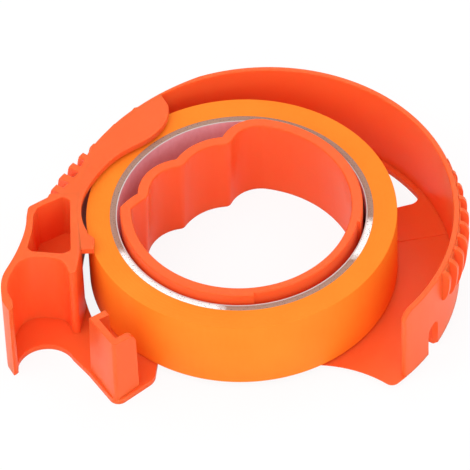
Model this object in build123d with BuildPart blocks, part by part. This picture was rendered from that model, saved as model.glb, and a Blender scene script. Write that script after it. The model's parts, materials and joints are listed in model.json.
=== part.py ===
from build123d import *
import os
from math import asin, cos, degrees, radians, sin, tan

# A hand tool that lays masking tape. A roll turns on a hand ring, a guard wall runs round it, and a nose with a
# toothed edge cuts the tape. Millimetres, origin on the roll's axis at the underside of the base plate, Z up.

# The roll of tape, on a three inch core
core_bore = 76.2
liner_ply = 0.4
core_board = 1.8
tape_diameter = 95.1
tape_width = 24.65
tape_edge_chamfer = 0.2

# Base plate and running clearances
floor_thickness = 2.0
floor_bottom_chamfer = 1.7
floor_step = 0.35
roll_running_gap = 0.3
hub_clearance = 1.0
hub_flange = 6.9
window_ledge = 1.7
flank_window_ledge = 0.2
window_corner = 3.0

# Hand ring
ring_wall = 3.5
ring_rim_chamfer = 0.5
relief_depth = 0.8

# Guard wall: a round back and a flatter flare at the front right
guard_gap = 9.65
guard_shift_x = 7.0
guard_shift_y = -0.6
guard_thickness = 1.9
guard_rim_chamfer = 0.4
guard_end_round = 4.0
flare_extra_radius = 4.6
flank_inset = 0.95
slot_width = 5.8
slot_height = 12.9

# Retaining tab
tab_thickness = 2.0
tab_gap = 1.05
tongue_corner_round = 0.8

# Grip ribs
left_rib_thickness = 2.4
left_rib_pitch = 5.1
left_rib_start = 8.5
left_groove_depth = 3.4
left_bulge = 1.5
left_crest = 0.25
left_crown = 0.45
left_crown_along = 17.0
left_shoulder_drop = 12.0
grip_line_inset = 0.27
right_bulge = 3.1
right_shoulder_drop = 4.0
right_rib_thickness = 2.5
right_foot_height = 11.0
right_pad_depth = 0.3
right_pad_inset = 0.6

# Nose
nose_width = 23.3
nose_length = 47.2
nose_start_y = 8.0
nose_web = 2.0
nose_pocket_depth = 16.5
nose_corner_round = 2.0
pocket_corner_round = 1.2
post_radius = 1.35

# Cutting edge
tooth_pitch = 0.88
tooth_depth = 0.5
comb_depth = 2.0

# Guide post, a C in plan, and the pad of the base plate that it stands on
guide_reach = 17.6
guide_long_leg = 12.6
guide_front_leg = 8.8
guide_back_leg = 6.6
guide_wall = 3.1
guide_drop = 4.0
guide_end_round = 3.0
guide_pad_ledge = 3.2
guide_pad_side_ledge = 0.9
guide_pad_far_ledge = 1.3
guide_pad_width = 14.2
guide_pad_round = 3.0
guide_pad_far_round = 5.0

# Wing at the front right of the base plate
wing_bow = 3.2
wing_corner_round = 2.6

# One overrun serves every cut
overrun = 5.0

# Angles, in degrees
flare_start_angle = 23.6
flank_from_angle = 108.0
flank_middle_angle = 130.0
flank_to_angle = 152.0
guard_end_angle = -45.5
wing_end_angle = -50.5
wing_start_angle = -70.0
slot_angle = -32.4
tab_start_angle = 122.0
flank_window_from_angle = 112.0
flank_window_to_angle = 203.0
side_window_from_angle = 26.5
side_window_to_angle = 72.0
floor_step_angle = 9.0
grip_line_angle = 143.4
left_rib_count = 5
left_crest_count = 4
right_rib_first_angle = -26.5
right_rib_last_angle = 16.0
right_rib_count = 10
right_bulge_angle = -12.4
right_bulge_spread_angle = 31.0
guide_angle = 230.7
guide_turn_angle = 31.5
guide_draft_angle = 1.0
ring_draft_angle = 2.7
relief_from_angle = -86.0
relief_to_angle = -14.0
pad_join_angle = 232.0

# Sizes worked out from those above
core_radius = core_bore / 2
board_radius = core_radius + liner_ply
tape_bore_radius = board_radius + core_board
tape_radius = tape_diameter / 2
roll_bottom = floor_thickness + roll_running_gap
roll_top = roll_bottom + tape_width
tab_bottom = roll_top + tab_gap
tool_height = tab_bottom + tab_thickness
wall_height = tool_height - floor_thickness
hub_radius = core_radius - hub_clearance
flange_radius = hub_radius + hub_flange
guard_radius = tape_radius + guard_gap
guard_outer = guard_radius + guard_thickness
flare_radius = guard_radius + flare_extra_radius
flare_outer = flare_radius + guard_thickness
flank_x = guard_shift_x - guard_radius
clear_of_all = 2 * flare_outer
guide_height = wall_height - guide_drop
relief_turn = relief_to_angle - relief_from_angle


def polar(radius, angle, centre=(0, 0)):
    """A point at a radius and an angle in degrees about a centre."""
    return (centre[0] + radius * cos(radians(angle)), centre[1] + radius * sin(radians(angle)))


def nose_point(across_share, along_share):
    """A point of the nose: across from the guard's flank to the left, along from its start to its tip."""
    return (flank_x - across_share * nose_width, nose_start_y - along_share * nose_length)


def guide_point(along_front, along_side):
    """A point of the guide post, from its outer corner along its front leg and along its long leg."""
    corner = polar(tape_radius + guide_reach, guide_angle)
    return polar(along_side, guide_turn_angle + 90, polar(along_front, guide_turn_angle, corner))


guard_centre = (guard_shift_x, guard_shift_y)
flare_centre = polar(-flare_extra_radius, flare_start_angle, guard_centre)
nose_start_turn = degrees(asin((nose_start_y - guard_shift_y) / guard_radius))


def inner_region(grow=0):
    """The closed area inside the guard's inner face, grown outward."""
    with BuildSketch(mode=Mode.PRIVATE) as region:
        with BuildLine():
            front = CenterArc(flare_centre, flare_radius + grow, -90, 90 + flare_start_angle)
            back = CenterArc(guard_centre, guard_radius + grow, flare_start_angle, 270 - flare_start_angle)
            Line(back @ 1, front @ 0)
        make_face()
    return region.sketch


def outer_region():
    """The closed area inside the guard's outer face, which is flatter beside the grip at the left."""
    with BuildSketch(mode=Mode.PRIVATE) as region:
        with BuildLine():
            front = CenterArc(flare_centre, flare_outer, -90, 90 + flare_start_angle)
            back = CenterArc(guard_centre, guard_outer, flare_start_angle, flank_from_angle - flare_start_angle)
            flank = ThreePointArc(
                back @ 1,
                polar(guard_outer - flank_inset, flank_middle_angle, guard_centre),
                polar(guard_outer, flank_to_angle, guard_centre),
            )
            left = CenterArc(guard_centre, guard_outer, flank_to_angle, 270 - flank_to_angle)
            Line(left @ 1, front @ 0)
        make_face()
    return region.sketch


def front_area(end_angle):
    """The area in front of the guard, clockwise from an angle about the flare's centre to the nose's start."""
    with BuildSketch(mode=Mode.PRIVATE) as area:
        with BuildLine():
            far_point = polar(clear_of_all, end_angle, flare_centre)
            Polyline(flare_centre, far_point, (far_point[0], -clear_of_all), (-clear_of_all, -clear_of_all),
                     (-clear_of_all, nose_start_y), (flare_centre[0], nose_start_y), close=True)
        make_face()
    return area.sketch


def flank_area():
    """The area at the left of the tab's start, behind the nose."""
    with BuildSketch(mode=Mode.PRIVATE) as area:
        with BuildLine():
            near_radius = (nose_start_y - guard_shift_y) / sin(radians(tab_start_angle))
            start = polar(clear_of_all, tab_start_angle, guard_centre)
            Polyline(polar(near_radius, tab_start_angle, guard_centre), start, (-clear_of_all, start[1]),
                     (-clear_of_all, nose_start_y), close=True)
        make_face()
    return area.sketch


def rib_profile(reach, root, shoulder_drop, foot_height, foot_depth=0):
    """A rib seen from its side: flush with the rim at the top, swelling to its reach, and back at its foot."""
    shoulder = tool_height - shoulder_drop
    with BuildSketch(mode=Mode.PRIVATE) as profile:
        with BuildLine():
            Polyline((0, tool_height), (-root, tool_height), (-root, foot_height), (-foot_depth, foot_height))
            EllipticalCenterArc((-foot_depth, shoulder), reach + foot_depth, shoulder - foot_height,
                                start_angle=270, arc_size=90)
            EllipticalCenterArc((0, shoulder), reach, shoulder_drop, arc_size=90)
        make_face()
    return profile.sketch


def rib_plane(point, outward_angle):
    """An upright plane through a rib: x points outward, y points up."""
    outward = polar(1, outward_angle)
    return Plane(origin=(*point, 0), x_dir=(*outward, 0), z_dir=(outward[1], -outward[0], 0))


# Hand ring: the outside follows the core's bore, then steps in over finger scallops at the upper left.
# Each scallop runs from one cusp to the next through a middle point, as an angle and a share of the radius.
cusp_shares = ((177.5, 1.0), (167.3, 0.872), (133.2, 0.765), (99.6, 0.800), (77.0, 1.0))
scallop_shares = ((172.5, 0.94), (152.0, 0.878), (116.5, 0.806), (88.0, 0.955))

with BuildSketch() as ring_outside:
    with BuildLine():
        CenterArc((0, 0), hub_radius, cusp_shares[0][0], 360 + cusp_shares[-1][0] - cusp_shares[0][0])
        for start, middle, end in zip(cusp_shares, scallop_shares, cusp_shares[1:]):
            ThreePointArc(
                polar(start[1] * hub_radius, start[0]),
                polar(middle[1] * hub_radius, middle[0]),
                polar(end[1] * hub_radius, end[0]),
            )
    make_face()

with BuildSketch() as ring_inside:
    offset(ring_outside.sketch, amount=-ring_wall, kind=Kind.ARC)

hole_edges = ring_inside.sketch.edges()

with BuildPart() as hand_ring:
    with BuildSketch():
        add(ring_outside.sketch)
        add(ring_inside.sketch, mode=Mode.SUBTRACT)
    extrude(amount=tool_height)
    chamfer(hand_ring.edges().group_by(Axis.Z)[-1], length=ring_rim_chamfer)
    hole_faces = [
        face for face in hand_ring.faces().filter_by(GeomType.CYLINDER)
        if min(edge.distance_to(Vertex(face.center().X, face.center().Y, 0)) for edge in hole_edges) < ring_wall / 2
    ]
    draft(hole_faces, Plane.XY.offset(tool_height - ring_rim_chamfer), -ring_draft_angle)
    with BuildSketch(Plane.XY.offset(floor_thickness)):
        with BuildLine():
            inner_relief = CenterArc((0, 0), hub_radius - relief_depth, relief_from_angle, relief_turn)
            outer_relief = CenterArc((0, 0), hub_radius + overrun, relief_from_angle, relief_turn)
            Line(inner_relief @ 0, outer_relief @ 0)
            Line(inner_relief @ 1, outer_relief @ 1)
        make_face()
    extrude(amount=wall_height, mode=Mode.SUBTRACT)
    relief_middle = (*polar(hub_radius - relief_depth, relief_from_angle + relief_turn / 2), tool_height)
    chamfer(hand_ring.edges().group_by(Axis.Z)[-1].sort_by_distance(relief_middle)[0], length=ring_rim_chamfer)
hand_ring.part.label = "hand_ring"


# Nose: the outer outline from the guard to the tip, then the channel's inside back to the post and the flank
nose_split_share = (0.360, 0.0)
nose_back_share = (0.385, 0.028)
nose_shoulder_share = (0.640, 0.105)
nose_left_shares = ((0.662, 0.190), (0.680, 0.290), (0.735, 0.400), (0.888, 0.593), (0.975, 0.690),
                    (1.0, 0.815), (0.983, 0.913))
nose_tip_share = (0.897, 1.0)
nose_heel_share = (0.845, 0.968)
nose_lip_share = (0.850, 0.915)
channel_shares = ((0.915, 0.830), (0.897, 0.722), (0.837, 0.645), (0.755, 0.582), (0.640, 0.550), (0.490, 0.544),
                  (0.361, 0.555), (0.245, 0.576), (0.170, 0.617))
post_share = (0.075, 0.667)
pocket_shares = ((0.090, 0.065), (0.175, 0.026), (0.520, 0.118), (0.570, 0.185), (0.590, 0.320), (0.655, 0.460),
                 (0.600, 0.492), (0.190, 0.525), (0.090, 0.500))
mouth_left_share = (0.845, 0.915)
mouth_middle_share = (0.472, 0.778)
mouth_right_share = (0.125, 0.890)

# Tongue of the retaining tab, as angles and shares of the tape's radius, and the tab's inner edge before it
tongue_shares = ((190.6, 1.008), (193.9, 0.973), (198.9, 1.007))
tab_edge_shares = ((116.1, 1.022), (118.4, 0.945), (130.4, 0.853), (145.7, 0.911), (161.1, 0.978), (173.3, 1.023),
                   (181.0, 1.028), (189.6, 1.006))
tongue_points = [polar(share * tape_radius, angle) for angle, share in tongue_shares]
tab_edge_points = [polar(share * tape_radius, angle) for angle, share in tab_edge_shares]
tongue_end_y = tongue_points[-1][1]


def nose_outside():
    """The nose's outer edges, from the guard's flank round the shoulder to the inner corner of the tip."""
    Polyline(nose_point(*nose_back_share), nose_point(*nose_shoulder_share), nose_point(*nose_left_shares[0]))
    Spline([nose_point(*share) for share in nose_left_shares])
    Polyline(nose_point(*nose_left_shares[-1]), nose_point(*nose_tip_share), nose_point(*nose_heel_share))


with BuildSketch() as nose_outline:
    with BuildLine():
        flank_arc = CenterArc(guard_centre, guard_radius, 180 - nose_start_turn, nose_start_turn)
        Polyline(flank_arc @ 0, nose_point(*nose_split_share), nose_point(*nose_back_share))
        nose_outside()
        Polyline(nose_point(*nose_heel_share), nose_point(*nose_lip_share), nose_point(*channel_shares[0]))
        post_centre = nose_point(*post_share)
        post_left = (post_centre[0] - post_radius, post_centre[1])
        post_right = (post_centre[0] + post_radius, post_centre[1])
        Spline([nose_point(*share) for share in channel_shares] + [post_left])
        ThreePointArc(post_left, (post_centre[0], post_centre[1] - post_radius), post_right)
        Polyline(post_right, (flank_x, tongue_end_y), flank_arc @ 1)
    make_face()
    fillet(
        nose_outline.vertices().sort_by_distance(nose_point(*nose_shoulder_share))[0],
        radius=nose_corner_round,
    )

with BuildSketch() as pocket:
    with BuildLine():
        Polyline([nose_point(*share) for share in pocket_shares], close=True)
    make_face()
    fillet(pocket.vertices(), radius=pocket_corner_round)

# The comb is the end of the nose's left arm, cut off square to its outer face
tip = Vector(*nose_point(*nose_tip_share))
tip_way = (tip - Vector(*nose_point(*nose_left_shares[-1]))).normalized()
comb_plane = Plane(origin=(tip.X, tip.Y, 0), x_dir=(tip_way.X, tip_way.Y, 0), z_dir=(0, 0, 1))
tooth_plane = Plane(origin=(tip.X, tip.Y, 0), x_dir=(tip_way.X, tip_way.Y, 0), z_dir=(tip_way.Y, -tip_way.X, 0))

with BuildSketch(comb_plane) as comb_area:
    Rectangle(2 * comb_depth, 2 * overrun)

with BuildPart() as nose_housing:
    with BuildSketch(Plane.XY.offset(floor_thickness)):
        add(nose_outline.sketch)
        add(comb_area.sketch, mode=Mode.SUBTRACT)
    extrude(amount=wall_height)
    with BuildSketch(Plane.XY.offset(tool_height)):
        add(pocket.sketch)
    extrude(amount=-nose_pocket_depth, mode=Mode.SUBTRACT)
    with BuildSketch(Plane.XY.offset(tool_height - nose_pocket_depth - nose_web)):
        add(pocket.sketch)
    extrude(amount=-tool_height, mode=Mode.SUBTRACT)
nose_housing.part.label = "nose_housing"

with BuildPart() as cutter_comb:
    with BuildSketch():
        add(nose_outline.sketch)
        add(comb_area.sketch, mode=Mode.INTERSECT)
    extrude(amount=tool_height)
    tooth_count = round(tool_height / tooth_pitch)
    tooth_step = tool_height / tooth_count
    with BuildSketch(tooth_plane):
        for tooth in range(tooth_count + 1):
            with BuildLine():
                Polyline((-tooth_depth, tooth * tooth_step), (0, (tooth + 0.5) * tooth_step),
                         (0, (tooth - 0.5) * tooth_step), close=True)
            make_face()
    extrude(amount=overrun, both=True, mode=Mode.SUBTRACT)
cutter_comb.part.label = "cutter_comb"


# A slot low in the guard wall, open at the bottom, that also notches the base plate
with BuildPart() as slot_cutter:
    slot_start = polar(flare_radius - window_ledge, slot_angle, flare_centre)
    slot_outward = polar(1, slot_angle)
    with BuildSketch(Plane(origin=(*slot_start, 0), x_dir=(-slot_outward[1], slot_outward[0], 0),
                           z_dir=(*slot_outward, 0))):
        with BuildLine():
            slot_left = Line((-slot_width / 2, -overrun), (-slot_width / 2, slot_height - slot_width / 2))
            ThreePointArc(slot_left @ 1, (0, slot_height), (slot_width / 2, slot_height - slot_width / 2))
            Polyline((slot_width / 2, slot_height - slot_width / 2), (slot_width / 2, -overrun), slot_left @ 0)
        make_face()
    extrude(amount=window_ledge + guard_thickness + overrun)

with BuildSketch() as guard_footprint:
    add(outer_region())
    add(inner_region(), mode=Mode.SUBTRACT)
    add(front_area(guard_end_angle), mode=Mode.SUBTRACT)

with BuildPart() as guard_wall:
    with BuildSketch(Plane.XY.offset(floor_thickness)):
        add(guard_footprint.sketch)
        add(flank_area(), mode=Mode.SUBTRACT)
    extrude(amount=wall_height)
    add(slot_cutter.part, mode=Mode.SUBTRACT)
    wall_end = (*polar(flare_radius + guard_thickness / 2, guard_end_angle, flare_centre), tool_height)
    fillet(guard_wall.edges().group_by(Axis.Z)[-1].sort_by_distance(wall_end)[0], radius=guard_end_round)
    rim_edges = guard_wall.edges().group_by(Axis.Z)[-1].filter_by(GeomType.CIRCLE)
    chamfer(rim_edges, length=guard_rim_chamfer)
guard_wall.part.label = "guard_wall"


# Retaining tab: a sheet over the roll's edge at the left, with a small tongue behind the nose's post
with BuildPart() as retaining_tab:
    with BuildSketch(Plane.XY.offset(tab_bottom)) as tab_outline:
        with BuildLine():
            tab_arc = CenterArc(guard_centre, guard_radius, tab_start_angle, 180 - tab_start_angle)
            Line(tab_arc @ 0, tab_edge_points[0])
            Spline(tab_edge_points)
            Polyline([tab_edge_points[-1]] + tongue_points + [(flank_x, tongue_end_y), tab_arc @ 1])
        make_face()
        fillet(tab_outline.vertices().sort_by_distance(tongue_points[1])[:1], radius=tongue_corner_round)
    extrude(amount=tab_thickness)
retaining_tab.part.label = "retaining_tab"


# Left grip: the flank of the guard wall with the ribs that stand on it, their tips on a line tangent to the guard
grip_middle = polar(guard_outer - grip_line_inset, grip_line_angle, guard_centre)
grip_way_angle = grip_line_angle + 90


def grip_point(along, outward):
    """A point of the left grip, from the place where its line touches the guard."""
    return polar(along, grip_way_angle, polar(outward, grip_line_angle, grip_middle))


def rib_tip(along):
    """A rib's tip, on an arc of the guard's own radius that crowns the grip's line."""
    return grip_point(along, left_crown - guard_outer * (1 - cos((along - left_crown_along) / guard_outer)))


with BuildSketch() as grip_root:
    with BuildLine():
        Polyline(grip_point(0, -left_groove_depth), grip_point(guard_radius, -left_groove_depth),
                 grip_point(guard_radius, -guard_radius), grip_point(0, -guard_radius), close=True)
    make_face()
    add(front_area(guard_end_angle), mode=Mode.SUBTRACT)

with BuildPart() as left_grip:
    with BuildSketch(Plane.XY.offset(floor_thickness)):
        add(grip_root.sketch)
        add(inner_region(guard_thickness / 2), mode=Mode.SUBTRACT)
    extrude(amount=wall_height)
    for rib in range(left_rib_count):
        rib_point = rib_tip(left_rib_start + rib * left_rib_pitch)
        with BuildSketch(rib_plane(rib_point, grip_line_angle)):
            add(rib_profile(left_bulge, left_groove_depth + guard_thickness + overrun, left_shoulder_drop,
                            floor_thickness, left_groove_depth))
        extrude(amount=left_rib_thickness / 2, both=True)
    for crest in range(left_crest_count):
        crest_along = left_rib_start - (crest + 1) * left_rib_pitch
        crest_angle = grip_line_angle + degrees(crest_along / guard_outer)
        crest_point = polar(guard_outer - flank_inset + left_crest, crest_angle, guard_centre)
        with BuildSketch(rib_plane(crest_point, crest_angle)):
            add(rib_profile(left_crest, left_crest + guard_thickness, left_shoulder_drop, floor_thickness, left_crest))
        extrude(amount=left_rib_thickness / 2, both=True)
    with BuildSketch():
        add(outer_region())
        add(front_area(guard_end_angle))
    extrude(amount=tool_height, mode=Mode.SUBTRACT)
    with BuildSketch(Plane.XY.offset(floor_thickness)):
        add(outer_region())
        add(inner_region(), mode=Mode.SUBTRACT)
        add(flank_area(), mode=Mode.INTERSECT)
    extrude(amount=wall_height)
    first_rim = (*polar(guard_outer, tab_start_angle, guard_centre), tool_height)
    chamfer(left_grip.edges().group_by(Axis.Z)[-1].filter_by(GeomType.CIRCLE).sort_by_distance(first_rim)[0],
            length=guard_rim_chamfer)
left_grip.part.label = "left_grip"


# Right grip: ribs on the guard's flare, which swell towards the middle, on a thin pad between the outer two
right_rib_turn = right_rib_last_angle - right_rib_first_angle

with BuildPart() as right_grip:
    with BuildSketch(rib_plane(polar(flare_outer, right_rib_first_angle, flare_centre), right_rib_first_angle)):
        pad_bottom = right_foot_height + right_pad_inset
        pad_top = tool_height - right_pad_inset
        with BuildLine():
            Polyline((-guard_thickness / 2, pad_bottom), (right_pad_depth, pad_bottom), (right_pad_depth, pad_top),
                     (-guard_thickness / 2, pad_top), close=True)
        make_face()
    revolve(axis=Axis((*flare_centre, 0), (0, 0, 1)), revolution_arc=right_rib_turn)
    for rib in range(right_rib_count):
        rib_angle = right_rib_first_angle + rib * right_rib_turn / (right_rib_count - 1)
        swell_share = 1 - ((rib_angle - right_bulge_angle) / right_bulge_spread_angle) ** 2
        with BuildSketch(rib_plane(polar(flare_outer, rib_angle, flare_centre), rib_angle)):
            add(rib_profile(right_bulge * swell_share, guard_thickness / 2, right_shoulder_drop, right_foot_height))
        extrude(amount=right_rib_thickness / 2, both=True)
    with BuildSketch():
        add(outer_region())
    extrude(amount=tool_height, mode=Mode.SUBTRACT)
right_grip.part.label = "right_grip"


with BuildPart() as guide_post:
    with BuildSketch(Plane.XY.offset(floor_thickness)):
        with BuildLine():
            Polyline(
                guide_point(0, 0),
                guide_point(guide_front_leg, 0),
                guide_point(guide_front_leg, guide_wall),
                guide_point(guide_wall, guide_wall),
                guide_point(guide_wall, guide_long_leg - guide_wall),
                guide_point(guide_back_leg, guide_long_leg - guide_wall),
                guide_point(guide_back_leg, guide_long_leg),
                guide_point(0, guide_long_leg),
                close=True,
            )
        make_face()
    extrude(amount=guide_height)
    upright_faces = guide_post.faces().filter_by(Axis.Z, reverse=True)
    draft(upright_faces, Plane.XY.offset(floor_thickness), guide_draft_angle)
    guide_top = floor_thickness + guide_height
    guide_top_leg = guide_front_leg - guide_height * tan(radians(guide_draft_angle))
    with BuildSketch(rib_plane(guide_point(0, 0), guide_turn_angle)):
        with BuildLine():
            end_arc = CenterArc((guide_top_leg - guide_end_round, guide_top - guide_end_round), guide_end_round, 0, 90)
            Polyline(end_arc @ 0, (guide_front_leg + overrun, guide_top - guide_end_round),
                     (guide_front_leg + overrun, guide_top + overrun),
                     (guide_top_leg - guide_end_round, guide_top + overrun), end_arc @ 1)
        make_face()
    extrude(amount=guide_wall, both=True, mode=Mode.SUBTRACT)
guide_post.part.label = "guide_post"


# Base plate: one floor under everything, with a window below the tab and one beside the guard
pad_corner = guide_point(-guide_pad_side_ledge, -guide_pad_ledge)
pad_back_corner = guide_point(-guide_pad_side_ledge, guide_long_leg)
pad_far_corner = guide_point(guide_pad_width, -guide_pad_far_ledge)
wing_corner = polar(flare_outer, wing_end_angle, flare_centre)
wing_start = polar(flange_radius, wing_start_angle)
wing_middle = (Vector(*wing_start) + Vector(*wing_corner)) / 2
wing_across = (Vector(*wing_corner) - Vector(*wing_start)).normalized().rotate(Axis.Z, 90)
wing_bow_point = wing_middle + wing_across * wing_bow

with BuildSketch() as plate_outline:
    add(outer_region())
    add(grip_root.sketch)
    add(front_area(wing_end_angle), mode=Mode.SUBTRACT)
    Circle(flange_radius)
    with BuildLine():
        ThreePointArc(wing_start, (wing_bow_point.X, wing_bow_point.Y), wing_corner)
        Polyline(wing_corner, flare_centre, (0, 0), wing_start)
    make_face()
    with BuildLine():
        Polyline((0, 0), (guard_shift_x, nose_start_y), nose_point(*nose_split_share), nose_point(*nose_back_share))
        nose_outside()
        Polyline(nose_point(*nose_heel_share), nose_point(*mouth_left_share))
        ThreePointArc(
            nose_point(*mouth_left_share),
            nose_point(*mouth_middle_share),
            nose_point(*mouth_right_share),
        )
        Polyline(nose_point(*mouth_right_share), pad_back_corner, pad_corner, pad_far_corner,
                 polar(flange_radius, pad_join_angle), (0, 0))
    make_face()
    outline_corners = plate_outline.vertices()
    fillet(outline_corners.sort_by_distance(pad_corner)[0], radius=guide_pad_round)
    outline_corners = plate_outline.vertices()
    fillet(outline_corners.sort_by_distance(pad_far_corner)[0], radius=guide_pad_far_round)
    outline_corners = plate_outline.vertices()
    fillet(outline_corners.sort_by_distance(wing_corner)[0], radius=wing_corner_round)
    outline_corners = plate_outline.vertices()
    fillet(outline_corners.sort_by_distance(nose_point(*nose_shoulder_share))[0], radius=nose_corner_round)

with BuildSketch() as flank_window:
    with BuildLine():
        flank_turn = flank_window_to_angle - flank_window_from_angle
        outer_flank = CenterArc(guard_centre, guard_radius - flank_window_ledge, flank_window_from_angle, flank_turn)
        inner_flank = CenterArc((0, 0), flange_radius, flank_window_from_angle, flank_turn)
        Line(outer_flank @ 0, inner_flank @ 0)
        Line(outer_flank @ 1, inner_flank @ 1)
    make_face()
    fillet(flank_window.vertices(), radius=window_corner)

with BuildSketch() as side_window:
    with BuildLine():
        side_turn = side_window_to_angle - side_window_from_angle
        outer_side = CenterArc(guard_centre, guard_radius - window_ledge, side_window_from_angle, side_turn)
        inner_side = CenterArc((0, 0), flange_radius, side_window_from_angle, side_turn)
        Line(outer_side @ 0, inner_side @ 0)
        Line(outer_side @ 1, inner_side @ 1)
    make_face()
    fillet(side_window.vertices(), radius=window_corner)

with BuildPart() as base_plate:
    with BuildSketch():
        add(plate_outline.sketch)
    extrude(amount=floor_thickness)
    lower_edges = base_plate.edges().group_by(Axis.Z)[0]
    flare_middle = polar(flare_outer, 0, flare_centre)
    chamfer(lower_edges.sort_by_distance(flare_middle)[0], length=floor_bottom_chamfer)
    with BuildSketch():
        add(ring_outside.sketch)
        add(flank_window.sketch)
        add(side_window.sketch)
        add(pocket.sketch)
        add(comb_area.sketch)
    extrude(amount=floor_thickness, mode=Mode.SUBTRACT)
    with BuildSketch(Plane.XY.offset(floor_thickness - floor_step)):
        with BuildLine():
            step_turn = floor_step_angle - wing_start_angle
            near_arc = CenterArc((0, 0), flange_radius, wing_start_angle, step_turn)
            far_arc = CenterArc((0, 0), clear_of_all, wing_start_angle, step_turn)
            Line(near_arc @ 0, far_arc @ 0)
            Line(near_arc @ 1, far_arc @ 1)
        make_face()
        add(guard_footprint.sketch, mode=Mode.SUBTRACT)
    extrude(amount=floor_thickness, mode=Mode.SUBTRACT)
    add(slot_cutter.part, mode=Mode.SUBTRACT)
base_plate.part.label = "base_plate"


# The roll
with BuildPart() as tape_winding:
    with BuildSketch(Plane.XY.offset(roll_bottom)):
        Circle(tape_radius)
        Circle(tape_bore_radius, mode=Mode.SUBTRACT)
    extrude(amount=tape_width)
    chamfer(tape_winding.edges().filter_by(GeomType.CIRCLE).sort_by(SortBy.RADIUS)[-2:], length=tape_edge_chamfer)
tape_winding.part.label = "tape_winding"

with BuildPart() as core_tube:
    with BuildSketch(Plane.XY.offset(roll_bottom)):
        Circle(tape_bore_radius)
        Circle(board_radius, mode=Mode.SUBTRACT)
    extrude(amount=tape_width)
core_tube.part.label = "core_tube"

with BuildPart() as core_liner:
    with BuildSketch(Plane.XY.offset(roll_bottom)):
        Circle(board_radius)
        Circle(core_radius, mode=Mode.SUBTRACT)
    extrude(amount=tape_width)
core_liner.part.label = "core_liner"


os.makedirs("parts", exist_ok=True)
export_step(base_plate.part, "parts/base_plate.step")
export_step(guard_wall.part, "parts/guard_wall.step")
export_step(retaining_tab.part, "parts/retaining_tab.step")
export_step(left_grip.part, "parts/left_grip.step")
export_step(right_grip.part, "parts/right_grip.step")
export_step(hand_ring.part, "parts/hand_ring.step")
export_step(nose_housing.part, "parts/nose_housing.step")
export_step(cutter_comb.part, "parts/cutter_comb.step")
export_step(guide_post.part, "parts/guide_post.step")
export_step(core_tube.part, "parts/core_tube.step")
export_step(core_liner.part, "parts/core_liner.step")
export_step(tape_winding.part, "parts/tape_winding.step")
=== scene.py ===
"""Looks of a one-hand masking tape applicator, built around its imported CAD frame.

The frame moulding keeps the CAD forms and gets rounded edges, the roll is turned from profiles, and a plain
studio with the photograph's camera goes round them. Lengths are metres, in the CAD model's own frame.
"""

from __future__ import annotations

import json
import logging
import math
from dataclasses import dataclass
from enum import Enum

import bmesh
import bpy
from mathutils import Matrix, Vector
from mathutils.bvhtree import BVHTree

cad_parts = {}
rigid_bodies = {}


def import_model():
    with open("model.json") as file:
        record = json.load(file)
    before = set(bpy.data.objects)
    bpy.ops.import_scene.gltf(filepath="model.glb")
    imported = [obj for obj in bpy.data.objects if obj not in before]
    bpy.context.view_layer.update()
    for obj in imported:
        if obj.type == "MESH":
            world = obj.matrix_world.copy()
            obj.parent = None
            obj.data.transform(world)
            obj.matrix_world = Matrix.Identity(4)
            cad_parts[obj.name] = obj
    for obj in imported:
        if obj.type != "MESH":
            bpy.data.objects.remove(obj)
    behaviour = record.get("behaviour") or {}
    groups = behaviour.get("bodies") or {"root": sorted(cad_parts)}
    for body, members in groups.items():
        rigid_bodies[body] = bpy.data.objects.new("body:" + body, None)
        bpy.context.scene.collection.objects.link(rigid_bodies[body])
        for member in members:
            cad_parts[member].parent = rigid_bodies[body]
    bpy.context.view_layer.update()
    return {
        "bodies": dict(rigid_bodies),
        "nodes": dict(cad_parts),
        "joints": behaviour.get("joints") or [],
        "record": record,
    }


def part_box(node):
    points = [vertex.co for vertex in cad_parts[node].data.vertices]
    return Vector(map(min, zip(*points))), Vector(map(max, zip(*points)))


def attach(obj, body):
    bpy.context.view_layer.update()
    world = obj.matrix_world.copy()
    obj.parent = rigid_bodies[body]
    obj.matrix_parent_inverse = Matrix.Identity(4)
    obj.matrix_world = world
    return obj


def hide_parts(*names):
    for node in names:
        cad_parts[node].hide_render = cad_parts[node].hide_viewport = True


MM = 0.001
MERGE_DISTANCE = 0.002 * MM
FLAT_TURN = math.radians(0.6)
ROUND_PROFILE = 0.5
Colour = tuple[float, float, float, float]
Value = bpy.types.NodeSocket | float | Colour
log = logging.getLogger("tape_applicator")


class Body(Enum):
    """The CAD bodies that pieces ride on."""

    FRAME = "frame"
    ROLL = "roll"


class Slot(Enum):
    """The record's material slots."""

    MOULDING = "moulding"
    CORE_BOARD = "core_board"
    CORE_PAPER = "core_paper"
    TAPE = "tape"


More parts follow.
